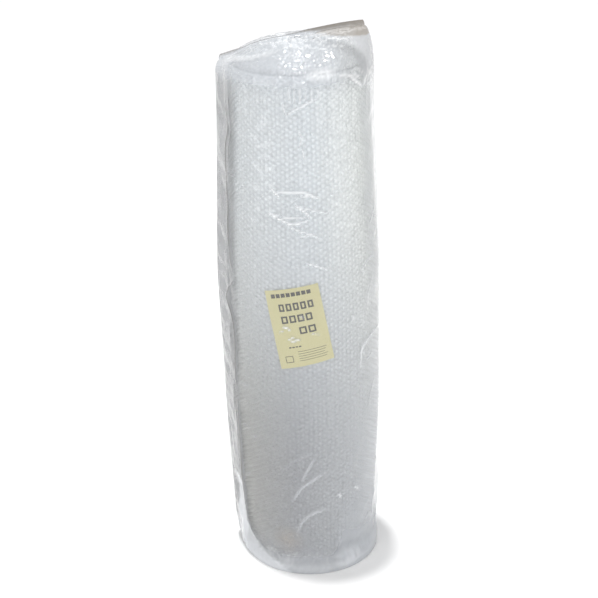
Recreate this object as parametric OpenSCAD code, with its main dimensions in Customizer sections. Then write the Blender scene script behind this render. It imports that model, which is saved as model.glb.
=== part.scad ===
// Roll of bubble film, wound without a core, standing on its end in a clear
// film bag, with a printed paper slip between the roll and the bag.
// Millimetres. Z is the axis of the roll, z = 0 is the face that it stands on,
// and -Y is the front, where the slip lies.

/* [Bubble film] */
// Width of the film, which is the height of the standing roll
web_w = 1200; // [1100:10:1500]
// Spacing of the columns of bubbles round the roll
column_pitch = 10.2; // [9:0.1:14]
// Height that a column of bubbles stands above the film between the columns
bubble_h = 2.4; // [1:0.1:4]
// Thickness of one turn of the wound film
turn_pitch = 2.1; // [1.8:0.1:4]
// Depth of the groove between the edges of two turns
turn_groove = 2; // [0.5:0.1:3]

/* [Roll] */
// Diameter of the roll over its belly
belly_d = 340; // [330:1:360]
// Diameter of the roll below its domed head
head_d = 304; // [290:1:320]
// Diameter of the roll at its foot
foot_d = 312; // [295:1:325]
// Length over which the roll narrows towards its head
head_neck = 560; // [400:10:600]
// Length over which the roll narrows towards its foot
foot_neck = 420; // [250:10:450]
// Height of the dome that the tight bag presses on the head
dome_h = 70; // [50:1:90]
// Angle round the dome at which the edges of the turns begin
shoulder = 20; // [15:1:30]
// Width of the rounded edge of the foot
foot_round = 14; // [8:1:20]
// Diameter of the eye that is left in the middle of the roll
eye_d = 32; // [20:1:60]
// Place round the roll where the loose end of the film lies
tail_angle = 62; // [20:1:160]

/* [Bag] */
// Thickness of the bag film as drawn
film_t = 0.5; // [0.4:0.1:1]
// Room between the belly and the bag
bag_room = 1.4; // [1.2:0.1:6]
// Share of the narrowing of the roll that the bag follows
bag_follow = 0.85; // [0.5:0.05:0.95]
// Reach of the flattened left edge of the bag beyond the roll, near the head
fin_head = 21; // [5:1:40]
// Reach of the flattened left edge of the bag beyond the roll, near the foot
fin_foot = 13; // [5:1:40]
// Reach of the flattened right edge of the bag beyond the roll
fin_right = 1; // [0.5:0.5:30]
// Height of the seam above the dome at the right, where it ends in an ear
ear_h = 33; // [20:1:80]
// Drop of the seam from its ear to its left end
seam_drop = 65; // [30:1:70]
// Width of the welded seam
seam_w = 10; // [6:1:20]
// Height of the gathers under the seam
gather_h = 3.2; // [0.5:0.1:6]
// Length of the gathers
gather_len = 210; // [100:10:400]
// Reach of the folded foot of the bag beyond the foot of the roll, at the front
skirt_front = 31; // [5:1:40]
// Height of the flare above the folded foot
skirt_h = 70; // [40:5:150]

/* [Slip] */
// Width of the printed slip
slip_w = 120; // [60:1:160]
// Height of the printed slip
slip_h = 182; // [90:1:300]
// Thickness of the slip as drawn
slip_t = 0.3; // [0.2:0.1:0.5]
// Height of the middle of the slip above the foot
slip_z = 612; // [200:1:1000]
// Turn of the slip about its middle, seen from the front
slip_turn = 11; // [-20:1:20]
// Place of the slip round the roll, where -90 is the front
slip_angle = -94; // [-140:1:-40]

/* [Clearances] */
// Gap between pieces that rest on each other
rest_gap = 0.3; // [0.2:0.05:0.4]

/* [Hidden] */

belly_r = belly_d / 2;
head_r = head_d / 2;
foot_r = foot_d / 2;
eye_r = eye_d / 2;
roll_z = film_t + rest_gap;
rim_z = web_w - dome_h;

// Shape of the roll
function ease(u) = let (c = min(1, max(0, u))) c * c * (3 - 2 * c);
function barrel_r(h) = belly_r
    - (belly_r - head_r) * ease((h - (web_w - head_neck)) / (head_neck - dome_h))
    - (belly_r - foot_r) * ease((foot_neck - h) / foot_neck);
function dome_z(r) = rim_z + dome_h * sqrt(max(0, 1 - pow(r / head_r, 2)));
// The film is a spiral, so the radius falls by one turn on the way round from its loose end
function wound(angle) = let (past = (angle - tail_angle) / 360) past - floor(past);
function skin_r(angle, h) = barrel_r(h) - turn_pitch * wound(angle);

// A closed wall through rings of points, all with the same count, from the lowest to the highest.
// Each end is closed by strips between one half of its ring and the other.
module rings(list) {
    count = len(list[0]);
    last = (len(list) - 1) * count;
    strips = [for (i = [0:floor((count - 1) / 2) - 1]) let (j = count - 1 - i)
        each (i + 1 < j - 1 ? [[i, i + 1, j - 1], [i, j - 1, j]] : [[i, i + 1, j]])];
    polyhedron([for (ring = list) each ring], concat(
        [for (a = [0:count:last - 1], i = [0:count - 1]) let (j = (i + 1) % count, b = a + count)
            each [[a + i, b + j, a + j], [a + i, b + i, b + j]]],
        strips,
        [for (f = strips) [last + f[2], last + f[1], last + f[0]]]),
        convexity = 8);
}

// Columns of bubbles, with a crest and a valley each
columns = round(PI * belly_d / column_pitch);
tail_lap = 0.4;
ledge = 1;
head_face_r = head_r * cos(shoulder);
head_face_z = rim_z + dome_h * sin(shoulder);
foot_face_r = foot_r - foot_round;
foot_face_z = turn_groove + ledge;

// Rings of the outside: height, how far it is drawn in, and the share of the bubbles' height there.
// They follow the rounded foot, the barrel and the shoulder, and the columns run out at both ends.
skin_levels = concat(
    [for (a = [0, 45]) [foot_face_z + foot_round * (1 - cos(a)), -foot_round * (1 - sin(a)), sin(2 * a)]],
    [for (u = [0, 0.35, 0.7, 1]) [foot_face_z + foot_round + (foot_neck - foot_face_z - foot_round) * u, 0, 1]],
    [for (u = [0:0.25:1]) [web_w - head_neck + (head_neck - dome_h) * u, 0, 1]],
    [for (n = [1, 0]) let (a = shoulder / (n + 1)) [rim_z + dome_h * sin(a), -head_r * (1 - cos(a)), n]]);

function skin_ring(level, inset, share) = [for (i = [0:2 * columns])
    let (part = i / (2 * columns),
         angle = tail_angle + 360 * part - (i == 2 * columns ? tail_lap : 0),
         r = barrel_r(level) + inset - turn_pitch * part - (i % 2 == 1 ? bubble_h * share : 0))
    [r * cos(angle), r * sin(angle), level]];

// Edges of the turns: half rings about two centres that are half a turn apart join into one spiral
module turn_edges(outer_r, base, face) {
    rotate(tail_angle)
        for (half = [0, 1])
            let (shift = half * turn_pitch / 2,
                 start = eye_r + ledge + shift,
                 turns = floor((outer_r - ledge - shift - turn_pitch / 2 - start) / turn_pitch),
                 end = start + turns * turn_pitch)
                rotate(180 * half)
                    translate([shift, 0, 0])
                        rotate_extrude(angle = 180, $fn = 180)
                            polygon(concat(
                                [[start, base]],
                                [for (k = [0:turns - 1]) let (r = start + k * turn_pitch)
                                    each [[r, face(r) - turn_groove], [r + turn_pitch / 2, face(r)]]],
                                [[end, face(end) - turn_groove], [end, base]]));
}

module bubble_roll() {
    color("#dbe3e6") translate([0, 0, roll_z]) {
        difference() {
            rings([for (level = skin_levels) skin_ring(level[0], level[1], level[2])]);
            translate([0, 0, -1]) cylinder(r = eye_r, h = web_w + 2, $fn = 90);
        }
        turn_edges(head_face_r, head_face_z - 2 * ledge, function(r) dome_z(r));
        mirror([0, 0, 1]) turn_edges(foot_face_r, -foot_face_z - 2 * ledge, function(r) 0);
    }
}

// Shape of the bag. Its sides are straight from the roll to the two flattened edges.
sectors = 60;
fin_from = web_w / 3;
fin_step = 300;
crown_slack = 1.2;
room = bag_room + film_t;
gather_share = rands(0.35, 1, sectors, 7);
// The folded foot reaches furthest towards skirt_angle, and its folds are tucked under by skirt_tuck
skirt_angle = -80;
skirt_tuck = 2;
skirt_spread = 1.5;
skirt_curve = 1.6;
fin_tuck = 6;
fin_spread = 6;

function bag_core_r(h) = belly_r + room - bag_follow * (belly_r - barrel_r(h));
function fin(h) = fin_foot + (fin_head - fin_foot) * ease((h - fin_from) / fin_step);
function edge_r(core, reach, off) = core / cos(max(0, acos(core / (core + reach)) - off));
function gather(i, h) = gather_h * gather_share[i] * (i % 2) * ease((h - (rim_z - gather_len)) / gather_len);
function skirt_r(angle) = bag_core_r(0) - skirt_tuck
    + skirt_front * pow(max(0, cos(angle - skirt_angle)), skirt_spread)
    + (fin_foot - fin_tuck + skirt_tuck) * pow(max(0, -cos(angle)), fin_spread);

function side_r(angle, h) = let (core = bag_core_r(h))
    max(edge_r(core, fin(h), abs(angle - 180)),
        edge_r(core, fin_right, min(angle, 360 - angle)));
function bag_r(i, h) = let (angle = 360 * i / sectors, flare = pow(1 - min(1, h / skirt_h), skirt_curve))
    side_r(angle, h) * (1 - flare) + skirt_r(angle) * flare + gather(i, h);

// The seam runs over the dome along X and rises to the ear at the right
ear_in = 16;
seam_out = 12;
seam_curve = 1.6;
seam_right = head_r - ear_in;
seam_left = head_r + seam_out;
function seam_z(x) = web_w + ear_h
    - seam_drop * pow(max(0, (seam_right - x) / (seam_right + seam_left)), seam_curve);
function over_dome(x, y, z, clear) =
    max(z, rim_z + (dome_h + clear) * sqrt(max(0, 1 - pow(norm([x, y]) / (head_r + clear), 2))));

// A point of the bag above the shoulder of the roll, on its way up to the seam, which it meets at 90
crown_curve = 0.9;
seam_gape = 0.7;
function crown_point(i, rise, inset) = let (
    angle = 360 * i / sectors,
    edge = i % (sectors / 2) == 0,
    r = bag_r(i, rim_z) - inset,
    x1 = cos(angle) * ((cos(angle) > 0 ? seam_right : seam_left) - inset),
    y1 = edge ? 0 : sign(sin(angle)) * (film_t - seam_gape * inset),
    x = x1 + (r * cos(angle) - x1) * cos(rise),
    y = y1 + (r * sin(angle) - y1) * cos(rise),
    top = seam_z(x) - (inset > 0 ? seam_w : 0),
    z = rim_z + (top - rim_z) * pow(sin(rise), crown_curve))
    [x, y, roll_z + over_dome(x, y, z, room + crown_slack - inset)];

bag_levels = concat([0, 6, 24, 44, skirt_h],
    [for (u = [0.25:0.25:1]) skirt_h + (foot_neck - skirt_h) * u],
    [for (u = [0:0.2:1]) web_w - head_neck + (head_neck - dome_h) * u]);
crown_steps = [15:15:90];

function bag_ring(level, inset) = [for (i = [0:sectors - 1])
    let (angle = 360 * i / sectors, r = bag_r(i, level) - inset)
    [r * cos(angle), r * sin(angle), level + (level > skirt_h ? roll_z : 0) + (level == 0 ? inset : 0)]];
function crown_ring(rise, inset) = [for (i = [0:sectors - 1]) crown_point(i, rise, inset)];

module bag_form(inset) {
    rings(concat([for (level = bag_levels) bag_ring(level, inset)],
                 [for (rise = crown_steps) crown_ring(rise, inset)]));
}

module film_bag() {
    color("#eef2f3", 0.45) difference() {
        bag_form(0);
        bag_form(film_t);
    }
}

// The slip hugs the crests of the bubbles, turned about its middle
slip_columns = 12;
slip_rows = 10;

function slip_point(u, v, lift) = let (
    across = u * slip_w * cos(slip_turn) - v * slip_h * sin(slip_turn),
    h = slip_z + u * slip_w * sin(slip_turn) + v * slip_h * cos(slip_turn),
    angle = slip_angle + across / barrel_r(h) * 180 / PI,
    r = skin_r(angle, h) + lift)
    [r * cos(angle), r * sin(angle), roll_z + h];

module slip() {
    // Each row of the grid goes out along the front of the sheet and back along its rear
    color("#e2dca8") rings([for (n = [0:slip_rows]) concat(
        [for (m = [0:slip_columns]) slip_point(m / slip_columns - 0.5, n / slip_rows - 0.5, rest_gap + slip_t)],
        [for (m = [slip_columns:-1:0]) slip_point(m / slip_columns - 0.5, n / slip_rows - 0.5, rest_gap)])]);
}

bubble_roll();
film_bag();
slip();
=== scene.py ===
"""A roll of bubble film that stands on its end in a clear film bag, with a printed slip under the bag.

Metres. Z is the axis of the roll, z = 0 is the floor, and -Y is the front. Angles round the roll
are in degrees, from +X towards +Y, so -90 is the front. Heights are above the foot of the roll.
"""

import math

import bpy
import numpy as np
from mathutils import Matrix, Vector


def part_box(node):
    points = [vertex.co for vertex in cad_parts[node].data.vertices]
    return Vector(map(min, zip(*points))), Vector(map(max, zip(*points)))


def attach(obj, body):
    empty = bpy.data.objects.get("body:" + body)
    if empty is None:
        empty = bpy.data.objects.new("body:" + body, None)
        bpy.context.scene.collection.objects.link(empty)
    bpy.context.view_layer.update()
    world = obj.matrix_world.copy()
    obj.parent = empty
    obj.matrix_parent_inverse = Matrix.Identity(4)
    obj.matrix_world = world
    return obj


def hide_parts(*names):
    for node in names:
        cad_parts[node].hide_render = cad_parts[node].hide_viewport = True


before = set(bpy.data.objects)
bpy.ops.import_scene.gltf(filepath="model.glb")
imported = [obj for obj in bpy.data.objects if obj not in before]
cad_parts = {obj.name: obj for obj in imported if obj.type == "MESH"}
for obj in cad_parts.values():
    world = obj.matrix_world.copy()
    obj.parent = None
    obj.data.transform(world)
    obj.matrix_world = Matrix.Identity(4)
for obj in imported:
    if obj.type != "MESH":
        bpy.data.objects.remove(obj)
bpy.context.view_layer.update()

# Camera
# It stands three metres in front of the roll at eye height, looks down at it
# and is rolled a little, so that the roll leans to the left in the picture.
camera_data = bpy.data.cameras.new("camera")
camera_data.sensor_width = 36
camera_data.lens = 86.57
camera = bpy.data.objects.new("camera", camera_data)
camera.location = (-0.011, -2.972, 1.869)
looks_down = math.radians(23.0)
leans = math.radians(-1.4)
camera.rotation_euler = (
    Matrix.Rotation(math.radians(90) - looks_down, 3, "X") @ Matrix.Rotation(leans, 3, "Z")
).to_euler()
bpy.context.scene.collection.objects.link(camera)
bpy.context.scene.camera = camera


# Wound film
# One web of bubble film, 1.2 m wide and 42 m long, wound tight without a core.
# Sixty turns show as thin edges on both ends, and the outer turn as one skin.
# The film is clear, so a few dozen turns of it look milky and a little blue.
web_w = 1.200
belly_r = 0.170
head_r = 0.152
foot_r = 0.156
head_neck = 0.560
foot_neck = 0.420
dome_h = 0.070
foot_round = 0.014
shoulder = 20
eye_r = 0.016
turn_pitch = 0.0021
turn_groove = 0.002
bubble_h = 0.0024
tail_angle = 62
roll_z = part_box("bubble_roll")[0].z
rim_h = web_w - dome_h


def ease(u):
    """A soft course from 0 to 1 while u goes from 0 to 1."""
    c = np.clip(u, 0, 1)
    return c * c * (3 - 2 * c)


def barrel_r(h):
    """Radius of the roll over its bubbles at a height, at the loose end of the film."""
    head = (belly_r - head_r) * ease((h - (web_w - head_neck)) / (head_neck - dome_h))
    foot = (belly_r - foot_r) * ease((foot_neck - h) / foot_neck)
    return belly_r - head - foot


def wound(angle):
    """Share of the last turn that lies between the loose end of the film and an angle."""
    return ((angle - tail_angle) / 360) % 1.0


def round_axis(angle, radius, z):
    """Points from angles in degrees, distances from the axis and heights."""
    a = np.radians(angle)
    angle, radius, z = np.broadcast_arrays(a, radius, z)
    return np.stack([radius * np.cos(angle), radius * np.sin(angle), z], axis=-1)


def sheet_faces(rows, columns, closed=False, first=0):
    """Four-sided faces over a grid, facing outwards where its columns go round +Z and its rows go up."""
    across = np.arange(columns if closed else columns - 1)
    a = (np.arange(rows - 1)[:, None] * columns + across).ravel() + first
    b = (np.arange(rows - 1)[:, None] * columns + (across + 1) % columns).ravel() + first
    return np.stack([a, b, b + columns, a + columns], axis=1)


def make_piece(name, points, faces, material=None):
    """A smooth mesh object with its place in its mesh."""
    mesh = bpy.data.meshes.new(name)
    mesh.from_pydata(points.reshape(-1, 3).tolist(), [], faces.tolist())
    mesh.shade_smooth()
    mesh.update()
    piece = bpy.data.objects.new(name, mesh)
    bpy.context.scene.collection.objects.link(piece)
    if material:
        mesh.materials.append(material)
    return piece


def from_hex(code):
    """Linear colour from an sRGB hex value."""
    parts = [int(code[i : i + 2], 16) / 255 for i in (1, 3, 5)]
    linear = [c / 12.92 if c <= 0.04045 else ((c + 0.055) / 1.055) ** 2.4 for c in parts]
    return np.array(linear + [1.0])


def add_node(tree, kind, inputs=None, **settings):
    """Adds a node with its settings, and sets its inputs, by name or number, to values or links."""
    node = tree.nodes.new(kind)
    for key, value in settings.items():
        setattr(node, key, value)
    for key, value in (inputs or {}).items():
        if isinstance(value, bpy.types.NodeSocket):
            tree.links.new(value, node.inputs[key])
        else:
            node.inputs[key].default_value = value
    return node


def new_material(name):
    """An empty material, its node tree and the socket that its surface goes to."""
    material = bpy.data.materials.new(name)
    material.use_nodes = True
    tree = material.node_tree
    tree.nodes.clear()
    output = tree.nodes.new("ShaderNodeOutputMaterial")
    return material, tree, output.inputs["Surface"]


# The wound film is milky polyethylene: many thin clear layers with air between them, which pass
# light on from one to the next. It is painted darker and greyer towards the foot and darker at the
# left than at the right, which is painted shade for light that falls from above and from the right,
# and it is warmer at the left. There is one faint tan stain near the floor. The tones are given
# from the left side of the roll, a share of 0, to the right one.
# Heights over which the painted shade of the foot fades out towards the head
shaded_below = 0.20
lit_above = 0.98
low_tones = ((0.0, "#A1A099"), (0.42, "#999B9F"), (1.0, "#C4C7CB"))
high_tones = ((0.0, "#DDE1E3"), (0.55, "#E6ECF0"), (1.0, "#E6E8E3"))
stain_at = (-0.050, -0.148, 0.066)
stain_r = 0.045
stain_blots_per_m = 90.0
light_spread = 0.009


def film_polyethylene(name, roughness, shade):
    """The roll's film at a roughness, and at a shade that brightens or darkens all its tones: painted shade
    where it is darker between the bubbles.
    """
    material, tree, surface = new_material(name)
    place = add_node(tree, "ShaderNodeTexCoord").outputs["Object"]
    axes = add_node(tree, "ShaderNodeSeparateXYZ", {"Vector": place}).outputs
    # Painted shade: across the roll the tones are darker at the left than at the right
    sideways = {"Value": axes["X"], "From Min": -belly_r, "From Max": belly_r}
    across = add_node(tree, "ShaderNodeMapRange", sideways).outputs["Result"]
    tones = []
    for stops in (low_tones, high_tones):
        tone = add_node(tree, "ShaderNodeValToRGB", {"Fac": across})
        tone.color_ramp.elements.new(0.5)
        for element, (share, code) in zip(tone.color_ramp.elements, stops):
            element.position = share
            element.color = from_hex(code)
        tones.append(tone.outputs["Color"])
    # Painted shade: the darker tones of the foot go over to the lighter ones of the head on the way up
    upwards = {"Value": axes["Z"], "From Min": shaded_below, "From Max": lit_above}
    rise = add_node(tree, "ShaderNodeMapRange", upwards, interpolation_type="SMOOTHSTEP").outputs["Result"]
    shade_graded = add_node(tree, "ShaderNodeMix", {0: rise, 6: tones[0], 7: tones[1]}, data_type="RGBA")
    from_stain = add_node(tree, "ShaderNodeVectorMath", {0: place, 1: stain_at}, operation="DISTANCE")
    stain_fade = {"Value": from_stain.outputs["Value"], "From Max": stain_r, "To Min": 0.6, "To Max": 0.0}
    near = add_node(tree, "ShaderNodeMapRange", stain_fade).outputs["Result"]
    blotted = {"Vector": place, "Scale": stain_blots_per_m, "Detail": 3.0}
    blots = add_node(tree, "ShaderNodeTexNoise", blotted)
    stained = add_node(tree, "ShaderNodeMath", {0: near, 1: blots.outputs["Fac"]}, operation="MULTIPLY")
    colour = add_node(
        tree,
        "ShaderNodeMix",
        {0: stained.outputs[0], 6: shade_graded.outputs[2], 7: from_hex("#B59C74")},
        data_type="RGBA",
    )
    shaded = add_node(tree, "ShaderNodeHueSaturation", {"Color": colour.outputs[2], "Value": shade})
    shine = add_node(
        tree,
        "ShaderNodeBsdfPrincipled",
        {
            "Base Color": shaded.outputs["Color"],
            "Roughness": roughness,
            "IOR": 1.5,
            "Subsurface Weight": 0.45,
            "Subsurface Radius": (1.0, 1.0, 1.0),
            "Subsurface Scale": light_spread,
        },
    )
    tree.links.new(shine.outputs["BSDF"], surface)
    return material


# Between the bubbles the film is duller than where it is blown tight, and painted a little darker as
# painted shade in the gaps between the bubbles
wound_pe = film_polyethylene("polyethylene_film_wound", 0.35, 0.92)

# Outer skin: over the rounded foot, up the barrel to the shoulder and in under the edges of the turns
foot_turns = np.radians(np.linspace(0, 90, 6)[:-1])
head_turns = np.radians(np.linspace(0, shoulder, 6)[1:])
barrel_rows = 110
skin_foot = 0.003
tucked_in = 0.030
skin_h = np.concatenate([
    [skin_foot],
    skin_foot + foot_round * (1 - np.cos(foot_turns)),
    np.linspace(skin_foot + foot_round, rim_h, barrel_rows),
    rim_h + dome_h * np.sin(head_turns),
    [rim_h + dome_h * math.sin(head_turns[-1])],
])
skin_in = np.concatenate([
    [tucked_in],
    foot_round * (1 - np.sin(foot_turns)),
    np.zeros(barrel_rows),
    head_r * (1 - np.cos(head_turns)),
    [tucked_in],
])
skin_columns = 211
skin_part = np.linspace(0, 1, skin_columns)
skin_angle = tail_angle + 360 * skin_part
skin_radius = (barrel_r(skin_h) - skin_in - bubble_h)[:, None] - turn_pitch * skin_part
skin_points = round_axis(skin_angle, skin_radius, roll_z + skin_h[:, None])
wound_points = [skin_points.reshape(-1, 3)]
wound_faces = [sheet_faces(len(skin_h), skin_columns, closed=True)]

# Edges of the turns: one spiral strip on each end, whose crest is the cut edge of the film.
# Its profile goes across one turn, in shares of the turn, and down into the groove beside it.
edge_step = 0.005
edge_profile = [(0.5, -1.0), (0.16, 0.0), (-0.16, 0.0), (-0.5, -1.0)]
edge_overlap = 1.04
edge_waver = 0.00012
edge_rise = 0.0003
ripple_points = 6
head_rim_in = 0.0015
foot_rim_in = 0.003
head_outer_r = head_r * math.cos(math.radians(shoulder)) - head_rim_in
foot_outer_r = foot_r - foot_round - foot_rim_in


def dome_h_at(radius):
    """Height of the roll's domed head at a distance from the axis."""
    return rim_h + dome_h * np.sqrt(np.clip(1 - (radius / head_r) ** 2, 0, 1))


def edge_strip(outer_r, seed):
    """Angles, radii and ripple of the film's edge on its way in from the outer turn to the eye."""
    radius = [outer_r]
    angle = [0.0]
    while radius[-1] > eye_r + turn_pitch / 2:
        turned = math.degrees(edge_step / radius[-1])
        angle.append(angle[-1] + turned)
        radius.append(outer_r - turn_pitch * angle[-1] / 360)
    draws = np.random.default_rng(seed)
    coarse = draws.normal(0, 1, len(angle) // ripple_points + 3)
    ripple = np.interp(np.arange(len(angle)) / ripple_points, np.arange(len(coarse)), coarse)
    return tail_angle + np.array(angle), np.array(radius), ripple


for end, outer_r, seed in (("head", head_outer_r, 5), ("foot", foot_outer_r, 6)):
    edge_angle, edge_r, ripple = edge_strip(outer_r, seed)
    strip = []
    for share, drop in edge_profile:
        r = edge_r + share * turn_pitch * edge_overlap + edge_waver * ripple * (drop == 0)
        if end == "head":
            z = roll_z + dome_h_at(edge_r) + drop * turn_groove + edge_rise * ripple * (drop == 0)
        else:
            z = roll_z - drop * turn_groove
        strip.append(round_axis(edge_angle, r, z))
    strip = np.stack(strip if end == "head" else strip[::-1])
    first = sum(len(p) for p in wound_points)
    wound_points.append(strip.reshape(-1, 3))
    wound_faces.append(sheet_faces(len(edge_profile), len(edge_angle), first=first))

# The eye that is left in the middle, where the winding began
eye_angle = np.arange(0, 360, 10)
eye_rows = 12
eye_head_h = web_w - 0.002
eye_foot_h = 0.004
eye_z = np.linspace(eye_head_h, eye_foot_h, eye_rows)[:, None] + roll_z
first = sum(len(p) for p in wound_points)
wound_points.append(round_axis(eye_angle, eye_r, eye_z).reshape(-1, 3))
wound_faces.append(sheet_faces(eye_rows, len(eye_angle), closed=True, first=first))

wound_film = make_piece("wound_film", np.concatenate(wound_points), np.concatenate(wound_faces), wound_pe)
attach(wound_film, "root")
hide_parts("bubble_roll")


# Bubbles
# Air-filled domes of the outer turn, 10 mm across, blown into the film in
# columns that are offset by half a bubble, so that they also make slanting rows.
# They are the same film, a little glossier, because it is stretched thin over the air.
column_count = 105
bubble_pitch = 0.01216
bubble_r = 0.0050
first_bubble = 0.9
aim_scatter = 0.05
smallest_bubble = 0.88
band_count = 3
bubble_pe = film_polyethylene("polyethylene_film_blown", 0.15, 0.99)

# Profile that the columns follow, by the length of film along it
profile_r = barrel_r(skin_h[1:-1]) - skin_in[1:-1] - bubble_h
profile_z = skin_h[1:-1]
profile_s = np.concatenate([[0], np.cumsum(np.hypot(np.diff(profile_r), np.diff(profile_z)))])
bubble_s = []
bubble_angle = []
for column in range(column_count):
    start = bubble_pitch * (first_bubble + 0.5 * (column % 2))
    s = np.arange(start, profile_s[-1] - bubble_r, bubble_pitch)
    bubble_s.append(s)
    bubble_angle.append(np.full(len(s), tail_angle + 360 * (column + 0.5) / column_count))
bubble_s = np.concatenate(bubble_s)
bubble_angle = np.concatenate(bubble_angle)
bubble_radius = np.interp(bubble_s, profile_s, profile_r) - turn_pitch * wound(bubble_angle)
bubble_z = np.interp(bubble_s, profile_s, profile_z) + roll_z
slope_r = np.interp(bubble_s, profile_s, np.gradient(profile_r, profile_s))
slope_z = np.interp(bubble_s, profile_s, np.gradient(profile_z, profile_s))
bubble_at = round_axis(bubble_angle, bubble_radius, bubble_z)
bubble_aim = round_axis(bubble_angle, slope_z, -slope_r)
bubble_draws = np.random.default_rng(11)
bubble_aim += bubble_draws.normal(0, aim_scatter, bubble_aim.shape)
bubble_size = bubble_draws.uniform(smallest_bubble, 1.0, len(bubble_at))

# Geometry nodes put one dome, the upper half of a flattened ball, on each point of a cloud.
# The attributes `aim` and `size` of a point turn its dome and scale it.
dome_tree = bpy.data.node_groups.new("bubbles_on_points", "GeometryNodeTree")
socket_id = {}
for socket_name, socket_kind in (
    ("Geometry", "NodeSocketGeometry"),
    ("Bubble Radius", "NodeSocketFloat"),
    ("Bubble Height", "NodeSocketFloat"),
    ("Material", "NodeSocketMaterial"),
):
    socket = dome_tree.interface.new_socket(socket_name, in_out="INPUT", socket_type=socket_kind)
    socket_id[socket_name] = socket.identifier
dome_tree.interface.new_socket("Geometry", in_out="OUTPUT", socket_type="NodeSocketGeometry")
given = add_node(dome_tree, "NodeGroupInput").outputs
wide, high = given["Bubble Radius"], given["Bubble Height"]
ball = add_node(dome_tree, "GeometryNodeMeshUVSphere", {"Segments": 8, "Rings": 6, "Radius": 1.0})
spot = add_node(dome_tree, "GeometryNodeInputPosition")
spot_z = add_node(dome_tree, "ShaderNodeSeparateXYZ", {0: spot.outputs[0]}).outputs["Z"]
under = add_node(dome_tree, "FunctionNodeCompare", {0: spot_z, 1: -0.01}, operation="LESS_THAN")
lower_half = {"Geometry": ball.outputs["Mesh"], "Selection": under.outputs[0]}
half = add_node(dome_tree, "GeometryNodeDeleteGeometry", lower_half, domain="POINT")
dome_size = add_node(dome_tree, "ShaderNodeCombineXYZ", {0: wide, 1: wide, 2: high})
pressed = {"Geometry": half.outputs[0], "Scale": dome_size.outputs[0]}
dome = add_node(dome_tree, "GeometryNodeTransform", pressed)
aim = add_node(dome_tree, "GeometryNodeInputNamedAttribute", {"Name": "aim"}, data_type="FLOAT_VECTOR")
size = add_node(dome_tree, "GeometryNodeInputNamedAttribute", {"Name": "size"}, data_type="FLOAT")
turn = add_node(dome_tree, "FunctionNodeAlignRotationToVector", {"Vector": aim.outputs[0]}, axis="Z")
on_points = {
    "Points": given["Geometry"],
    "Instance": dome.outputs[0],
    "Rotation": turn.outputs[0],
    "Scale": size.outputs[0],
}
many = add_node(dome_tree, "GeometryNodeInstanceOnPoints", on_points)
real = add_node(dome_tree, "GeometryNodeRealizeInstances", {0: many.outputs[0]})
smooth = add_node(dome_tree, "GeometryNodeSetShadeSmooth", {"Geometry": real.outputs[0]})
coated = {"Geometry": smooth.outputs[0], "Material": given["Material"]}
finished = add_node(dome_tree, "GeometryNodeSetMaterial", coated)
add_node(dome_tree, "NodeGroupOutput", {"Geometry": finished.outputs[0]})

for band in range(band_count):
    in_band = np.floor(bubble_s / profile_s[-1] * band_count).astype(int) == band
    cloud_mesh = bpy.data.meshes.new("bubble_points")
    cloud_mesh.from_pydata(bubble_at[in_band].tolist(), [], [])
    aims = cloud_mesh.attributes.new("aim", "FLOAT_VECTOR", "POINT")
    aims.data.foreach_set("vector", bubble_aim[in_band].ravel())
    sizes = cloud_mesh.attributes.new("size", "FLOAT", "POINT")
    sizes.data.foreach_set("value", bubble_size[in_band])
    cloud = bpy.data.objects.new("bubble_points", cloud_mesh)
    bpy.context.scene.collection.objects.link(cloud)
    maker = cloud.modifiers.new("bubbles", "NODES")
    maker.node_group = dome_tree
    maker[socket_id["Bubble Radius"]] = bubble_r
    maker[socket_id["Bubble Height"]] = bubble_h
    maker[socket_id["Material"]] = bubble_pe
    bpy.context.view_layer.update()
    view = bpy.context.evaluated_depsgraph_get()
    grown = bpy.data.meshes.new_from_object(cloud.evaluated_get(view))
    bpy.data.objects.remove(cloud)
    bubbles = bpy.data.objects.new(f"bubbles_{band + 1}", grown)
    bpy.context.scene.collection.objects.link(bubbles)
    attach(bubbles, "root")


# Slip
# Thin pale yellow paper, 120 by 182 mm, laid on the bubbles and held there by
# the bag. It has taken up some damp, so it waves a little.
slip_w = 0.120
slip_h = 0.182
slip_lift = 0.0005
slip_middle_h = 0.612
slip_middle_angle = -94
slip_turn = math.radians(11)
slip_rows = 49
slip_columns = 33
ink_lift = 0.00012


def slip_point(u, v, lift):
    """Points on the slip: u across it and v up it, from -0.5 to 0.5, lifted off the bubbles."""
    across = u * slip_w * math.cos(slip_turn) - v * slip_h * math.sin(slip_turn)
    h = slip_middle_h + u * slip_w * math.sin(slip_turn) + v * slip_h * math.cos(slip_turn)
    angle = slip_middle_angle + np.degrees(across / barrel_r(h))
    wave = 0.00022 * np.sin(38 * u + 9 * v) + 0.00018 * np.sin(15 * v - 21 * u + 1)
    radius = barrel_r(h) - turn_pitch * wound(angle) + slip_lift + wave + lift
    return round_axis(angle, radius, roll_z + h)


def matt_material(name, code, roughness):
    """A dull surface of one colour: soft paper scatters all its light, and so does dry ink on it."""
    material, tree, surface = new_material(name)
    finish = {"Base Color": from_hex(code), "Roughness": roughness, "IOR": 1.45}
    shine = add_node(tree, "ShaderNodeBsdfPrincipled", finish)
    tree.links.new(shine.outputs["BSDF"], surface)
    return material


slip_paper = matt_material("paper_thin_yellow", "#CCC694", 0.7)
slip_v, slip_u = np.meshgrid(
    np.linspace(-0.5, 0.5, slip_rows), np.linspace(-0.5, 0.5, slip_columns), indexing="ij"
)
slip_points = slip_point(slip_u, slip_v, 0)
slip = make_piece("slip_sheet", slip_points, sheet_faces(slip_rows, slip_columns), slip_paper)
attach(slip, "root")
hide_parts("slip")

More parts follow.
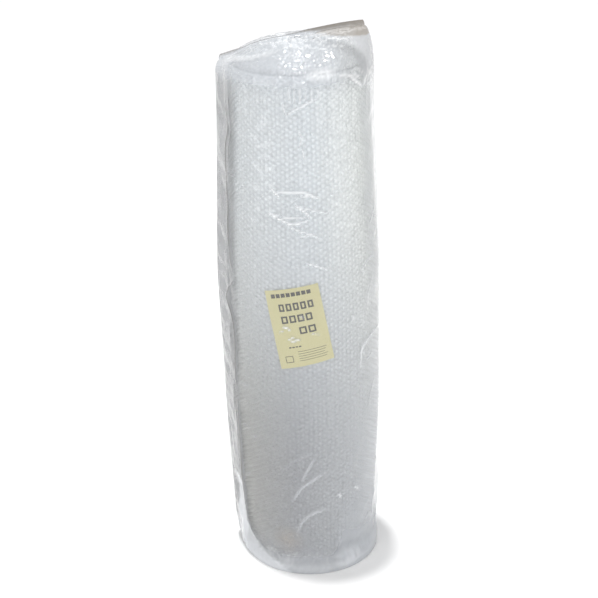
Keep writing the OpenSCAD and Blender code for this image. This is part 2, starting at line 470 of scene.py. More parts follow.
# Print on the slip: plain blocks, outlined blocks and lines of grey ink, in the places and tones of
# the real print. Each is left, top, width and height from the slip's top left corner, in millimetres.
ink = matt_material("ink_dark_grey", "#262010", 0.6)
ink_grid = 3
stroke_w = 3.8


def row_of_blocks(left, top, width, height, count, gap):
    """Blocks side by side, which stand for a line of print."""
    step = (width + gap) / count
    return [(left + i * step, top, step - gap, height) for i in range(count)]


def outlined(blocks):
    """The same blocks as outlines, each of four bars that don't overlap."""
    bars = []
    for left, top, width, height in blocks:
        bars.append((left, top, width, stroke_w))
        bars.append((left, top + height - stroke_w, width, stroke_w))
        for side in (left, left + width - stroke_w):
            bars.append((side, top + stroke_w, stroke_w, height - 2 * stroke_w))
    return bars


print_blocks = (
    row_of_blocks(13, 9, 88, 9, 8, 2.5)
    + outlined(row_of_blocks(25, 33, 76, 17, 5, 4))
    + outlined(row_of_blocks(25, 61, 68, 17, 4, 4))
    + outlined(row_of_blocks(59, 90, 36, 17, 2, 4))
    + row_of_blocks(28, 133, 27, 3, 4, 2)
    + [(45, 146 + 5.5 * line, 64 - 3 * (line % 3), 1.0) for line in range(5)]
    + [(15, 154, 17, 1.4), (15, 168, 17, 1.4), (15, 155, 1.4, 14), (30.6, 155, 1.4, 14)]
)
ink_points = []
ink_faces = []
for left, top, width, height in print_blocks:
    columns = max(2, round(width / ink_grid) + 1)
    rows = max(2, round(height / ink_grid) + 1)
    u = np.linspace(left, left + width, columns) / 1000 / slip_w - 0.5
    v = 0.5 - np.linspace(top + height, top, rows) / 1000 / slip_h
    block_v, block_u = np.meshgrid(v, u, indexing="ij")
    ink_faces.append(sheet_faces(rows, columns, first=sum(len(p) for p in ink_points)))
    ink_points.append(slip_point(block_u, block_v, ink_lift).reshape(-1, 3))
slip_print = make_piece("slip_print", np.concatenate(ink_points), np.concatenate(ink_faces), ink)
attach(slip_print, "root")


# Bag
# A tube of clear polyethylene film, pulled over the roll, welded shut above the
# head and folded under the foot. It lies on the bubbles in front, stands off
# in two flattened edges at the sides, and is creased where it was handled.
film_room = 0.0019
bag_follow = 0.85
fin_head = 0.019
fin_foot = 0.013
fin_right = 0.001
fin_from = 0.400
fin_step = 0.300
ear_h = 0.033
seam_drop = 0.065
seam_w = 0.010
gather_h = 0.0032
gather_len = 0.210
skirt_front = 0.031
skirt_h = 0.070
skirt_tuck = 0.002
skirt_left = 0.003
crown_slack = 0.0012
crown_soft = 0.003
seam_half = 0.0002
seam_reach = 0.003
under_h = 0.0003
seam_right = head_r - 0.016
seam_left = head_r + 0.012
gather_step = 6
gather_angle = np.arange(61) * gather_step
gather_share = np.random.default_rng(23).uniform(0.35, 1, 61) * (np.arange(61) % 2)


def bag_core_r(h):
    """Radius of the round part of the bag at a height."""
    return belly_r + film_room - bag_follow * (belly_r - barrel_r(h))


def wall_r(core, reach, off):
    """Radius of a straight wall that leaves the round core and runs to a point beyond it."""
    return core / np.cos(np.maximum(0, np.arccos(core / (core + reach)) - np.radians(off)))


def bag_side_r(angle, h):
    """Radius of the bag below the shoulder, with its flattened edges, skirt and gathers."""
    core = bag_core_r(h)
    fin = fin_foot + (fin_head - fin_foot) * ease((h - fin_from) / fin_step)
    left = wall_r(core, fin, np.abs(angle - 180))
    right = wall_r(core, fin_right, np.minimum(angle, 360 - angle))
    front = np.maximum(0, np.cos(np.radians(angle + 80)))
    skirt = bag_core_r(0) - skirt_tuck + skirt_front * front**1.5
    skirt = skirt + skirt_left * np.maximum(0, -np.cos(np.radians(angle))) ** 6
    flare = (1 - np.minimum(1, h / skirt_h)) ** 1.6
    gather = gather_h * np.interp(angle, gather_angle, gather_share)
    gather = gather * ease((h - (rim_h - gather_len)) / gather_len)
    return np.maximum(left, right) * (1 - flare) + skirt * flare + gather


def seam_z(x):
    """Height of the top edge of the seam, which falls from the ear at the right to the left."""
    return web_w + ear_h - seam_drop * np.maximum(0, (seam_right - x) / (seam_right + seam_left)) ** 1.38


def bag_crown(angle, rise):
    """Points of the bag from the shoulder, at a rise of 0, up to the seam, at a rise of 90."""
    a = np.radians(angle)
    u = np.radians(rise)
    r = bag_side_r(angle, rim_h)
    x1 = np.cos(a) * np.where(np.cos(a) > 0, seam_right, seam_left)
    x = x1 + (r * np.cos(a) - x1) * np.cos(u)
    y = r * np.sin(a) * np.cos(u)
    top = seam_z(x) - seam_w
    z = rim_h + (top - rim_h) * np.sin(u) ** 0.9
    clear = film_room + crown_slack
    over = rim_h + (dome_h + clear) * np.sqrt(np.clip(1 - (x * x + y * y) / (head_r + clear) ** 2, 0, 1))
    z = np.maximum(z, over) + crown_soft * np.exp(-np.abs(z - over) / crown_soft) * 0.5
    return np.stack([x, y, roll_z + z], axis=-1)


# The film is settled on a coarse grid. Its columns stand closer in front and at the two
# flattened edges, and each step between them is parted again afterwards: from, to, step, parts.
column_steps = [
    (0, 10, 1.7, 2),
    (10, 170, 3.2, 1),
    (170, 190, 1.7, 2),
    (190, 350, 2.2, 3),
    (350, 360, 1.7, 2),
]
bag_angle = []
column_at = []
for start, end, step, parts in column_steps:
    count = round((end - start) / step)
    column_at += [len(bag_angle) + i / parts for i in range(count * parts)]
    bag_angle += [start + (end - start) * i / count for i in range(count)]
bag_angle = np.array(bag_angle)
column_at = np.array(column_at)
under_rows = 5
foot_rows = 3
side_rows = 126
crown_rows = 17
seam_rows = 3
hem_r = 0.003
side_h = np.linspace(hem_r, rim_h, side_rows)[:, None]
side = round_axis(bag_angle, bag_side_r(bag_angle, side_h), side_h + roll_z * ease(side_h / skirt_h))
outline_r = bag_side_r(bag_angle, hem_r)
bend = np.radians(np.linspace(0, 90, foot_rows + 1)[:-1])[:, None]
foot = round_axis(bag_angle, outline_r - hem_r * (1 - np.sin(bend)), hem_r * (1 - np.cos(bend)))
under_share = np.linspace(0.2, 0.97, under_rows)[:, None]
under = round_axis(bag_angle, (outline_r - hem_r) * under_share, under_h)
crown_rise = np.linspace(0, 90, crown_rows + 1)[1:, None]
crown = bag_crown(bag_angle[None, :], crown_rise)
seam = np.repeat(crown[-1:], seam_rows, axis=0)
band_w = np.maximum(roll_z + seam_z(crown[-1, :, 0]) - crown[-1, :, 2], 0.002)
for row in range(seam_rows):
    seam[row, :, 2] += band_w * (row + 1) / seam_rows
band = np.concatenate([crown[-1:], seam])
reach_out = seam_reach * (1 - np.linspace(0, 1, seam_rows + 1)[:, None] ** 2)
band[..., 0] += reach_out * (ease((band[..., 0] - 0.105) / 0.03) - ease((-0.130 - band[..., 0]) / 0.03))
crown[-1], seam = band[0], band[1:]
bag_coarse = np.concatenate([under, foot, side, crown, seam])
bag_coarse[-seam_rows - 1 :, :, 1] = np.sign(np.round(np.sin(np.radians(bag_angle)), 9)) * seam_half
rows, columns = bag_coarse.shape[:2]
row_h = np.concatenate([
    np.full(under_rows + foot_rows, hem_r),
    side_h[:, 0],
    rim_h + head_r * np.radians(crown_rise[:, 0]),
    np.full(seam_rows, rim_h + head_r * math.pi / 2),
])

# Rows are parted in two between the foot and the seam, and kept as they are below and above
seam_from = rows - seam_rows - 1
foot_to = under_rows + foot_rows
row_at = [i / 2 for i in range(2 * seam_from)]
row_at = [p for p in row_at if p >= foot_to or p % 1 == 0]
row_at = np.array(row_at + list(range(seam_from, rows)))


def from_flat_edge(angle):
    """Degrees to the nearer of the bag's two flattened edges, which lie at 0 and 180."""
    return np.minimum(np.abs(angle - 180), np.minimum(angle, 360 - angle))


# The film is a little larger than what it holds, so it is let go and wrinkles over the roll:
# by 2% over the head and at the foot and the left edge, and by far less where the roll fills it
slack = 0.020
slack_tight = 0.003
cloth_frames = 16
loose = np.maximum(ease((row_h - 0.98) / 0.12), ease((0.11 - row_h) / 0.09))[:, None]
loose = np.maximum(loose, ease((22 - np.abs(bag_angle - 180)) / 12)[None, :])

# The roll as the cloth meets it: a closed foot, the barrel and the dome
inner_angle = np.arange(0, 360, 4)
inner_barrel = np.linspace(0.008, rim_h, 40)
inner_rise = np.radians([15, 30, 45, 60, 75, 88])
inner_h = np.concatenate([[0.0, 0.0], inner_barrel, rim_h + dome_h * np.sin(inner_rise)])
inner_r = np.concatenate([[0.01, foot_r], barrel_r(inner_barrel), head_r * np.cos(inner_rise)])
core = make_piece(
    "core_for_cloth",
    round_axis(inner_angle, inner_r[:, None], inner_h[:, None] + roll_z),
    sheet_faces(len(inner_h), len(inner_angle), closed=True),
)
core.modifiers.new("stop", "COLLISION")
core.collision.thickness_outer = 0.001
core.collision.cloth_friction = 5
cloth_piece = make_piece("bag_for_cloth", bag_coarse, sheet_faces(rows, columns, closed=True))

# `held` is how firmly a point is kept where it is, and `tight` how little it is let out
held = np.zeros((rows, columns))
held += 0.35 * ease((row_h[:, None] - 1.03) / 0.10)
held[: foot_to + 1] = 1
held[seam_from:] = 1
held[:, from_flat_edge(bag_angle) < 1] = 1
for group, weights in (("held", held), ("tight", np.broadcast_to(1 - loose, held.shape))):
    points = cloth_piece.vertex_groups.new(name=group)
    weights = np.round(weights, 2)
    for weight in np.unique(weights):
        points.add(np.flatnonzero(weights.ravel() == weight).tolist(), float(weight), "REPLACE")
cloth = cloth_piece.modifiers.new("film", "CLOTH")
film = cloth.settings
film.quality = 6
film.mass = 0.1
film.tension_stiffness = 60
film.compression_stiffness = 60
film.shear_stiffness = 30
film.bending_stiffness = 0.05
film.vertex_group_mass = "held"
film.pin_stiffness = 20
film.vertex_group_shrink = "tight"
film.shrink_max = -slack_tight
film.shrink_min = -slack
film.effector_weights.gravity = 0.05
cloth.collision_settings.distance_min = 0.0008
cloth.point_cache.frame_end = cloth_frames
bag_settled = bag_coarse.copy()
for step in range(1, cloth_frames + 1):
    bpy.context.scene.frame_set(step)
view = bpy.context.evaluated_depsgraph_get()
settled = bpy.data.meshes.new_from_object(cloth_piece.evaluated_get(view))
flat_points = np.zeros(rows * columns * 3)
settled.vertices.foreach_get("co", flat_points)
bag_settled = flat_points.reshape(rows, columns, 3)
bpy.context.scene.frame_set(1)
bpy.data.objects.remove(cloth_piece)
bpy.data.objects.remove(core)

# Next to the flattened edges the film keeps only its larger wrinkles, and no point of it ends
# further than the cap from where it began
cloth_cap = 0.006
moved = bag_settled - bag_coarse
evened = moved / 2 + (np.roll(moved, 1, axis=0) + np.roll(moved, -1, axis=0)) / 4
moved += (evened - moved) * ease((50 - from_flat_edge(bag_angle)) / 20)[None, :, None]
far = np.linalg.norm(moved, axis=-1, keepdims=True)
bag_settled = bag_coarse + moved * np.minimum(1, cloth_cap / np.maximum(far, 1e-9))


def between(grid, at, closed=False):
    """Points of a grid at fractional places along its first axis, on the curve through its rows."""
    count = len(grid)
    start = np.floor(at).astype(int)
    t = (at - start).reshape(-1, *[1] * (grid.ndim - 1))
    near = [(start + k) % count if closed else np.clip(start + k, 0, count - 1) for k in (-1, 0, 1, 2)]
    p, q, r, s = (grid[n] for n in near)
    return q + 0.5 * t * (r - p + t * (2 * p - 5 * q + 4 * r - s + t * (3 * q - p - 3 * r + s)))


bag_points = between(bag_settled, row_at)
bag_points = np.swapaxes(between(np.swapaxes(bag_points, 0, 1), column_at, closed=True), 0, 1)
row_h = np.interp(row_at, np.arange(rows), row_h)[:, None]
bag_angle = np.interp(column_at, np.arange(columns + 1), np.append(bag_angle, 360))[None, :]
rows, columns = bag_points.shape[:2]

# Folds that the film keeps from its handling. Each is a sharp ridge through places on the bag,
# steep on one side and slow on the other. Along it the film is painted white, partly for film
# stretched white and partly as a painted highlight of its glints, or dark, as painted shade in the
# crease: height and steep width in mm, whiteness from 0 to 1 or darkness from 0 to -1, then places
# as angle and height in mm. The wide ones run in a smooth curve, the others in straight legs.
folds = [
    (1.4, 3, 0.6, (-98, 1135), (-98, 1104)),
    (1.3, 3, 0.5, (-94, 1130), (-94, 1098)),
    (1.5, 3, 0.7, (-90, 1134), (-90, 1096)),
    (1.2, 3, 0.5, (-86, 1128), (-86, 1104)),
    (1.4, 3, 0.6, (-81, 1132), (-82, 1098)),
    (1.2, 3, 0.5, (-76, 1130), (-77, 1104)),
    (1.4, 3, 0.7, (-103, 1102), (-101, 1078)),
    (2.6, 4, 0.8, (-102, 1074), (-90, 1092), (-75, 1111)),
    (2.6, 5, 1.0, (-60, 1159), (-49, 1150), (-38, 1142)),
    (2.8, 6, 1.0, (-50, 1149), (-44, 1131), (-35, 1114)),
    (2.8, 6, 1.0, (-26, 1158), (-31, 1134), (-35, 1115)),
    (2.0, 5, 0.9, (-20, 1148), (-25, 1134), (-28, 1122)),
    (2.6, 6, 1.0, (-12, 1160), (-20, 1150), (-28, 1142)),
    (2.6, 4, 1.0, (-13, 1146), (-20, 1140), (-29, 1132)),
    (2.4, 4, 0.9, (-12, 1124), (-21, 1120), (-31, 1114)),
    (2.2, 4, 0.8, (-44, 1172), (-38, 1156), (-31, 1142)),
    (1.4, 3, 0.7, (-92, 1046), (-89, 1030), (-92, 1006)),
    (1.4, 3, 0.8, (-89, 1009), (-88, 984)),
    (1.2, 3, 0.4, (-84, 1046), (-79, 1030)),
    (1.2, 3, 0.4, (-70, 1060), (-64, 1040)),
    (2.4, 4, 1.0, (-113, 921), (-110, 911), (-106, 902)),
    (2.4, 5, 1.0, (-106, 903), (-107, 912), (-94, 912), (-88, 911), (-76, 896)),
    (1.6, 3, 0.7, (-97, 900), (-87, 904), (-79, 899)),
    (2.2, 4, 1.0, (-96, 887), (-87, 868), (-84, 857)),
    (1.8, 4, 0.8, (-95, 885), (-81, 872), (-69, 863)),
    (2.2, 4, 1.0, (-117, 867), (-97, 843), (-83, 854)),
    (1.8, 3, 0.9, (-116, 866), (-103, 860), (-83, 856)),
    (2.0, 4, 0.8, (-102, 842), (-89, 826), (-78, 814)),
    (1.4, 3, 0.8, (-95, 824), (-90, 818), (-84, 823), (-77, 810)),
    (1.2, 3, 0.6, (-88, 828), (-84, 816)),
    (1.0, 3, 0.35, (-124, 891), (-117, 908)),
    (1.0, 3, 0.35, (-72, 901), (-58, 912)),
    (2.0, 4, 0.9, (-91, 756), (-87, 758), (-81, 751), (-72, 740)),
    (1.2, 3, 1.0, (-107, 613), (-104, 612), (-100, 605)),
    (1.0, 3, 0.6, (-109, 598), (-105, 604)),
    (1.2, 3, 0.8, (-103, 587), (-100, 581), (-96, 577)),
    (1.0, 3, 0.7, (-101, 592), (-97, 585), (-93, 584)),
    (1.0, 3, 0.5, (-86, 600), (-83, 596), (-79, 594)),
    (1.0, 4, 0.5, (-94, 640), (-90, 634)),
    (1.2, 3, 0.3, (-100, 752), (-92, 750)),
    (2.6, 4, 0.7, (-16, 571), (-31, 561), (-44, 542), (-48, 484)),
    (2.0, 3, 0.8, (-53, 626), (-53, 610)),
    (2.0, 4, 0.2, (-30, 700), (-38, 660), (-40, 610)),
    (1.6, 4, 0.2, (-28, 450), (-36, 412), (-37, 380)),
    (2.4, 3, 1.0, (-68, 192), (-65, 186), (-64, 178)),
    (2.4, 3, 1.0, (-52, 194), (-49, 190), (-46, 182)),
    (2.2, 3, 1.0, (-22, 236), (-20, 224)),
    (2.2, 4, 0.6, (-22, 150), (-26, 110), (-25, 84)),
    (2.4, 6, 0.4, (-103, 173), (-96, 211), (-83, 242), (-73, 258)),
    (2.6, 6, 0.4, (-100, 89), (-95, 126), (-85, 149), (-73, 157)),
    (1.8, 5, 0.4, (-95, 230), (-90, 264), (-84, 294)),
    (1.8, 5, 0.2, (-107, 433), (-91, 448), (-80, 434)),
    (1.6, 5, 0.2, (-112, 250), (-100, 285), (-86, 310)),
    # Dark creases down the left edge, whose darkness is painted shade
    (3.2, 6, -0.95, (-147, 697), (-158, 670), (-164, 641), (-156, 597), (-153, 546), (-155, 467),
     (-153, 433)),
    (3.0, 6, -0.8, (-153, 400), (-153, 268), (-156, 157)),
    (3.0, 6, -0.9, (-161, 1107), (-162, 1015), (-162, 935), (-161, 850), (-157, 738), (-150, 700)),
    (2.4, 6, -0.5, (-158, 1110), (-157, 1020), (-159, 930)),
    (2.8, 8, 0.0, (-44, 327), (-55, 251), (-64, 193)),
    # A faintly dark crease: painted shade
    (2.6, 7, -0.25, (-64, 146), (-68, 110), (-71, 75)),
    (2.8, 6, 0.5, (-157, 375), (-156, 291), (-155, 187), (-151, 83), (-134, 37), (-112, 18)),
]
round_r = 0.170
m_per_degree = round_r * math.pi / 180
mm_per_degree = 2.97
soft_from = 5
slow_side = 2.2

# Small folds all over the bag, most of them aslant
spare = np.random.default_rng(41)
spare_count = 110
for n in range(spare_count):
    a = spare.uniform(-50, 230)
    h = spare.uniform(40, 1120)
    turned = spare.uniform(-0.9, 0.9)
    across, up = math.cos(turned), math.sin(turned)
    half_long = spare.uniform(16, 60) / 2
    bend = spare.uniform(-0.25, 0.25) * half_long
    places = []
    for end, bow in ((-1, 0), (0, bend), (1, 0)):
        aside = end * half_long * across - bow * up
        places.append((a + aside / mm_per_degree, h + end * half_long * up + bow * across))
    tall = spare.uniform(0.6, 1.5)
    steep = spare.uniform(3, 5)
    pale = 0.5 * spare.uniform() ** 2
    folds.append((tall, steep, pale, *places))


def fold_over(angle, h):
    """How far the folds stand out at places on the bag, in metres, and how white they are there, which is
    partly painted highlight, or dark, which is painted shade.
    """
    total = np.zeros((h.size, angle.size))
    white = np.zeros((h.size, angle.size))
    for tall, steep, pale, *places in folds:
        course = np.array(places, dtype=float)
        if steep >= soft_from:
            course = between(course, np.linspace(0, len(places) - 1, 4 * len(places) - 3))
        course = (course - [course[0, 0], 0]) * [m_per_degree, 0.001]
        over = ((angle[0] - places[0][0] + 180) % 360 - 180) * m_per_degree
        room = 2.5 * steep / 1000
        low, top = course.min(axis=0) - room, course.max(axis=0) + room
        near_columns = np.flatnonzero((over > low[0]) & (over < top[0]))
        near_rows = np.flatnonzero((h[:, 0] > low[1]) & (h[:, 0] < top[1]))
        here = np.ix_(near_rows, near_columns)
        x, z = over[near_columns][None, :], h[near_rows]
        legs = np.diff(course, axis=0)
        long = np.linalg.norm(legs, axis=1)
        gone = np.concatenate([[0], np.cumsum(long)])
        ridge = np.zeros((z.size, x.size))
        for i, (ux, uz) in enumerate(legs / long[:, None]):
            dx, dz = x - course[i, 0], z - course[i, 1]
            along = np.clip(dx * ux + dz * uz, 0, long[i])
            off = np.hypot(dx - along * ux, dz - along * uz)
            wide = steep / 1000 * np.where(dx * uz > dz * ux, 1.0, slow_side)
            taper = np.sqrt(np.clip(1 - (2 * (gone[i] + along) / gone[-1] - 1) ** 4, 0, 1))
            ridge = np.maximum(ridge, np.clip(1 - off / wide, 0, 1) * taper)
        total[here] = np.maximum(total[here], ridge * tall / 1000)
        # The white along a fold is partly stretched film and partly a painted highlight
        pale_here = np.clip(1.6 * ridge - 0.5, 0, 1) * pale
        white[here] = np.where(np.abs(pale_here) > np.abs(white[here]), pale_here, white[here])
    return total, white


def crumple(angle, h, size, seed):
    """Facets between sharp ridges, as in crumpled film: 0 to about 1, about a size in metres apart."""
    draws = np.random.default_rng(seed)
    x, z = np.broadcast_arrays(angle * m_per_degree, h)
    bent_x = x + 0.35 * size * np.sin(z / size * 2.1 + 1.3) + 0.2 * size * np.sin(x / size * 3.3 + z / size)
    bent_z = z + 0.35 * size * np.sin(x / size * 1.7 + 0.4) + 0.2 * size * np.sin(z / size * 2.9 - x / size)
    total = np.zeros(x.shape)
    share = 0
    for n in range(7):
        way = draws.uniform(0, math.pi)
        wave = size * draws.uniform(0.7, 2.2)
        start = draws.uniform(0, 1)
        part = (bent_x * math.cos(way) + bent_z * math.sin(way)) / wave + start
        total += np.abs(part % 1 - 0.5) * 2 * wave
        share += wave
    return np.clip(1.7 * total / share - 0.35, 0, 1)


def fade(value, start, end):
    """0 where a value is at the start and 1 where it is at the end, and a soft course between."""
    return ease((value - start) / (end - start))


# Zones of the bag, each a share from 0 to 1 for every point. Over the head, most of all in front,
# at the foot and along the left edge the film is crumpled, and under the ear it is calm. Down the
# right side it carries a painted reflection of the bright room, and at the right of its foot it is
# hazier. `worn` parts the bag into large facets, which have been handled more or less.
head_share_at = [
    (0, 0.3),
    (180, 0.3),
    (215, 0.25),
    (245, 0.35),
    (262, 0.9),
    (298, 0.9),
    (312, 0.5),
    (345, 0.4),
    (360, 0.3),
]
head_share = np.interp(bag_angle, *zip(*head_share_at))
to_right = (bag_angle + 180) % 360 - 180
worn = crumple(bag_angle, row_h, 0.12, 3)
calm = fade(bag_angle, 296, 308) * fade(bag_angle, 352, 332) * fade(row_h, 1.165, 1.185)
over_head = fade(row_h, 1.06, 1.15) * head_share * (1 - 0.7 * calm)
at_foot = fade(row_h, 0.085, 0.025) * np.ones_like(bag_angle)
at_edge = fade(np.abs(bag_angle - 182), 16, 6) * np.ones_like(row_h)
# Painted reflection of the bright room down the right side, where the film is seen at a flat angle
right_reflection = fade(to_right - 8 * worn, -46, -30) * fade(to_right - 10 * worn, 4, -18)
at_right_foot = fade(to_right, -74, -60) * fade(to_right - 26 * worn, 18, -10)
in_body = 0.06 + 0.30 * fade(worn, 0.60, 0.80)

# The foot, the seam and the flattened edges stay where they are, over 14 degrees at the head and
# 4 degrees below
free = np.ones((rows, columns))
free[:foot_to] = 0
free[-seam_rows - 1 :] = 0
free[-seam_rows - 5 : -seam_rows - 1] *= np.array([0.8, 0.6, 0.4, 0.2])[:, None]
free *= ease(from_flat_edge(bag_angle) / np.where(row_h > rim_h - 0.02, 14, 4))

# Crumple by zone: where, how high and how far apart in metres, and its seed
swell = np.zeros((rows, columns))
for zone, high, size, seed in (
    (over_head, 0.0062, 0.020, 8),
    (over_head, 0.0028, 0.008, 9),
    (at_foot, 0.0018, 0.024, 10),
    (at_edge * (0.3 + 0.7 * fade(row_h, 0.40, 0.70)), 0.0012, 0.036, 12),
    (in_body, 0.0020, 0.018, 13),
):
    swell += high * zone * crumple(bag_angle, row_h, size, seed)
fold_out, white = fold_over(bag_angle, row_h)
swell += fold_out * (1 - 0.3 * over_head)
swell -= 0.0034 * over_head + 0.0015 * at_foot
up_step = np.gradient(bag_points, axis=0)
round_step = np.roll(bag_points, -1, axis=1) - np.roll(bag_points, 1, axis=1)
outwards = np.cross(round_step, up_step)
outwards /= np.maximum(np.linalg.norm(outwards, axis=-1, keepdims=True), 1e-12)
bag_points = bag_points + outwards * (swell * free)[..., None]

# Marks on the film, again as shares: the flattened edge at the left, where it lies double, the
# turned-up hem at the left of the foot, the ear of the seam, the weld along its top, and painted
# highlights where it glints: a strip under the seam, crackled film over the head and one wide glare
x_on_bag = bag_points[..., 0]
below_seam = roll_z + seam_z(x_on_bag) - bag_points[..., 2]
crackle = crumple(bag_angle, row_h, 0.008, 15)
over_dome = fade(row_h, 1.105, 1.150)
in_fin = fade(bag_angle, 150, 162) * fade(bag_angle, 212, 207)
in_fin = in_fin * fade(row_h, 0.02, 0.07) * fade(row_h, 1.16, 1.10)
hem_at = [(190, 0.20), (203, 0.18), (205, 0.16), (209, 0.083), (226, 0.037), (248, 0.018), (260, 0.0)]
hem_h = np.interp(bag_angle, *zip(*hem_at))
at_hem = fade(row_h - hem_h, 0, -0.006) * fade(bag_angle, 188, 194)
ear_deep = (0.004 + 0.165 * np.clip(x_on_bag, 0, 0.14)) * (0.30 + 0.70 * fade(to_right, 6, -6))
ear = fade(below_seam - ear_deep, 0, -0.003) * fade(x_on_bag, -0.005, 0.050)
weld = np.zeros((rows, columns))
weld[-2:] = [[0.8], [1.0]]
grey = fade(to_right, -64, -52) * fade(to_right, 40, 4) * over_dome
# Brownish tone: the ear, the weld, a little of the grey over the head and a little painted reflection down
# the right side
brown = np.clip(0.85 * ear + 0.7 * weld + 0.10 * grey + 0.10 * right_reflection, 0, 1)
# Painted highlight: a glinting strip under the seam
strip = fade(below_seam, 0.006, 0.009) * fade(below_seam, 0.016, 0.011)
strip *= fade(x_on_bag, -0.035, -0.065) * fade(x_on_bag, -0.172, -0.157) * (0.4 + 0.6 * crackle)
# Painted highlight: crackled glints high on the head
crackle_glints = fade(bag_angle, 256, 266) * fade(bag_angle, 316, 304) * fade(row_h, 1.17, 1.19)
# Painted highlight: one wide glare on the head
glare = ease(1.15 - np.hypot((bag_angle - 286) / 16, (row_h - 1.172) / 0.028))

# Whiteness: the folds, the very foot, the hem, and painted highlights: a strip under the seam and glints
# over the head
# Painted shade: the darkness of the dark creases
crease_shade = np.maximum(-white, 0)
for share in (
    0.12 * fade(row_h, 0.030, 0.010),
    0.28 * at_hem,
    0.65 * strip * fade(bag_angle, 190, 210),
    0.5 * crackle_glints * fade(crackle, 0.66, 0.86),
    0.85 * glare * (0.5 + 0.5 * crackle),
):
    white = np.maximum(white, share)

# Haze: how much of the light the film stops. Clear film stops little, and more where it is
# crumpled, lies double or hangs in front of more film, and at the right of the foot. Down the right
# side the haze is a painted reflection, and along the dark creases it is painted shade.
haze = np.full((rows, columns), 0.09)
for share, zone in (
    (0.10, over_head * crackle),
    (0.32, over_dome * (0.85 + 0.3 * crackle)),
    (0.34, in_fin),
    (0.12, in_fin * fade(row_h, 0.95, 0.75)),
    (0.10, at_edge),
    # Painted reflection down the right side
    (0.30, right_reflection * fade(row_h + 0.32 * worn, 0.74, 0.96)),
    (0.28, fade(row_h, 0.105, 0.015) * (0.7 + 0.3 * crackle)),
    (0.26, at_right_foot * fade(row_h - 0.08 * worn, 0.16, 0.04)),
    (0.30, at_hem),
    (0.14, fade(row_h, 0.045, 0.025)),
    # Painted shade: the film is made less clear along the dark creases
    (0.55, crease_shade),
    (0.20, weld),
    (0.40, ear),
):
    haze += share * zone
haze = np.clip(haze, 0, 0.9)
haze += (0.92 - haze) * white

# Colour of the haze: each share of the film goes over to another tone, one after the other
film_colour = np.broadcast_to(from_hex("#CFD3D9"), (rows, columns, 4))
for share, code in (
    # White of the folds and glints: partly stretched film, partly painted highlight
    (white * (1 - ear), "#FAFBFC"),
    (0.75 * in_fin * (1 - at_hem), "#858687"),
    (0.22 * grey, "#9A9A9C"),
    (brown, "#98928A"),
    # Painted shade of the dark creases
    (0.9 * crease_shade, "#5E5D5A"),
):
    film_colour = film_colour + (from_hex(code) - film_colour) * share[..., None]

# Clear polyethylene film: it passes most light, its haze scatters the rest, and it shines white
# wherever it turns a face to a lamp, and more so the flatter it is looked at
film_ripples_per_m = 170.0
film_ripple_h = 0.0006
bag_pe, tree, surface = new_material("polyethylene_film_bag")
bag_colour = add_node(tree, "ShaderNodeAttribute", attribute_name="film_colour").outputs["Color"]
bag_haze_share = add_node(tree, "ShaderNodeAttribute", attribute_name="haze").outputs["Fac"]
bag_place = add_node(tree, "ShaderNodeTexCoord").outputs["Object"]
rippled = {"Vector": bag_place, "Scale": film_ripples_per_m, "Detail": 2.0, "Roughness": 0.6}
bag_ripple = add_node(tree, "ShaderNodeTexNoise", rippled).outputs["Fac"]
relief = {"Height": bag_ripple, "Strength": 0.25, "Distance": film_ripple_h}
bag_normal = add_node(tree, "ShaderNodeBump", relief).outputs["Normal"]
bag_clear = add_node(tree, "ShaderNodeBsdfTransparent").outputs[0]
bag_haze = add_node(tree, "ShaderNodeBsdfDiffuse", {"Color": bag_colour, "Normal": bag_normal}).outputs[0]
bag_body = add_node(tree, "ShaderNodeMixShader", {"Fac": bag_haze_share, 1: bag_clear, 2: bag_haze})
bag_gloss = add_node(
    tree, "ShaderNodeBsdfGlossy", {"Color": (1, 1, 1, 1), "Roughness": 0.10, "Normal": bag_normal}
)
bag_facing = add_node(tree, "ShaderNodeLayerWeight", {"Blend": 0.5, "Normal": bag_normal}).outputs["Facing"]
bag_steep = add_node(tree, "ShaderNodeMath", {0: bag_facing, 1: 5.0}, operation="POWER").outputs[0]
bag_edge = add_node(tree, "ShaderNodeMapRange", {"Value": bag_steep, "To Min": 0.08, "To Max": 1.0})
mixed = {"Fac": bag_edge.outputs[0], 1: bag_body.outputs[0], 2: bag_gloss.outputs[0]}
bag_mix = add_node(tree, "ShaderNodeMixShader", mixed)
tree.links.new(bag_mix.outputs[0], surface)

bag = make_piece("bag_sheet", bag_points, sheet_faces(rows, columns, closed=True), bag_pe)
for attribute, kind, key, values in (
    ("haze", "FLOAT", "value", haze),
    ("film_colour", "FLOAT_COLOR", "color", film_colour),
):
    bag.data.attributes.new(attribute, kind, "POINT").data.foreach_set(key, values.ravel())
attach(bag, "root")
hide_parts("film_bag")


# Floor and light
# White paper under and behind the roll, a bright room all round it, large soft lamps, whose
# mirror images are about as bright as the room, and small ones for the glints in the folds.
floor_half = 16.0
floor_glow = 0.04
room_light = 0.40


def seen_ray(tree):
    """1 for what the camera sees, also in reflections and through film, and 0 for light that spreads."""
    rays = add_node(tree, "ShaderNodeLightPath").outputs
    seen = rays["Is Camera Ray"]
    for kind in ("Is Glossy Ray", "Is Transmission Ray"):
        seen = add_node(tree, "ShaderNodeMath", {0: seen, 1: rays[kind]}, operation="MAXIMUM").outputs[0]
    return seen


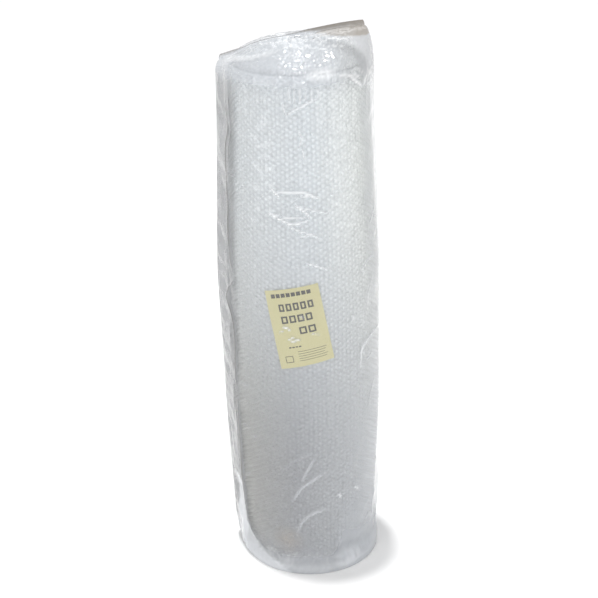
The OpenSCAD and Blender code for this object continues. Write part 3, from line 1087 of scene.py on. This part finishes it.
floor_white, tree, surface = new_material("paper_white_matt")
matt = add_node(tree, "ShaderNodeBsdfDiffuse", {"Color": (0.9, 0.9, 0.9, 1)}).outputs[0]
no_glow = add_node(tree, "ShaderNodeEmission", {"Strength": 0.0}).outputs[0]
glow = add_node(tree, "ShaderNodeEmission", {"Strength": floor_glow}).outputs[0]
seen_glow = add_node(tree, "ShaderNodeMixShader", {"Fac": seen_ray(tree), 1: no_glow, 2: glow}).outputs[0]
lit = add_node(tree, "ShaderNodeAddShader", {0: matt, 1: seen_glow})
tree.links.new(lit.outputs[0], surface)
floor_points = np.array([(-1, -1, 0), (1, -1, 0), (-1, 1, 0), (1, 1, 0)]) * floor_half
floor = make_piece("floor", floor_points, np.array([[0, 1, 3, 2]]), floor_white)

world = bpy.data.worlds.new("studio")
world.use_nodes = True
bpy.context.scene.world = world
tree = world.node_tree
level = add_node(tree, "ShaderNodeMapRange", {"Value": seen_ray(tree), "To Min": room_light, "To Max": 1.0})
background = tree.nodes["Background"]
background.inputs["Color"].default_value = (1, 1, 1, 1)
tree.links.new(level.outputs[0], background.inputs["Strength"])

# Lamps: name, kind, place, what it points at, power in watts or strength of a sun, and width in
# metres or in degrees of a sun
for name, kind, at, towards, energy, wide in (
    ("key", "AREA", (2.6, -1.4, 1.3), (0, 0, 0.7), 20, 2.5),
    ("fill", "AREA", (-2.4, -1.4, 1.3), (0, 0, 0.7), 10, 1.8),
    ("ceiling_right", "AREA", (0.9, -1.9, 3.0), (0, 0, 0.9), 2, 0.1),
    ("ceiling_left", "AREA", (-0.9, -1.2, 3.0), (0, 0, 0.9), 1.5, 0.1),
    ("ceiling_front", "AREA", (0.35, -1.6, 3.1), (0, 0, 0.9), 2, 0.1),
    ("ceiling_near", "AREA", (0.2, -0.8, 3.2), (0, 0, 0.9), 1.5, 0.1),
    ("back", "AREA", (0.5, 2.4, 2.6), (0, 0, 0.6), 12, 1.95),
    ("front", "SUN", (-0.3, -1.0, 0.34), (0, 0, 0), 0.8, 90),
    ("overhead", "SUN", (-0.055, 0.072, 1.2), (0, 0, 0), 1.9, 3),
):
    lamp_data = bpy.data.lights.new(name, kind)
    lamp_data.energy = energy
    if kind == "AREA":
        lamp_data.size = wide
    else:
        lamp_data.angle = math.radians(wide)
    lamp = bpy.data.objects.new(name, lamp_data)
    lamp.location = at
    lamp.rotation_euler = (Vector(towards) - Vector(at)).to_track_quat("-Z", "Y").to_euler()
    bpy.context.scene.collection.objects.link(lamp)

bpy.context.scene.view_settings.view_transform = "Standard"
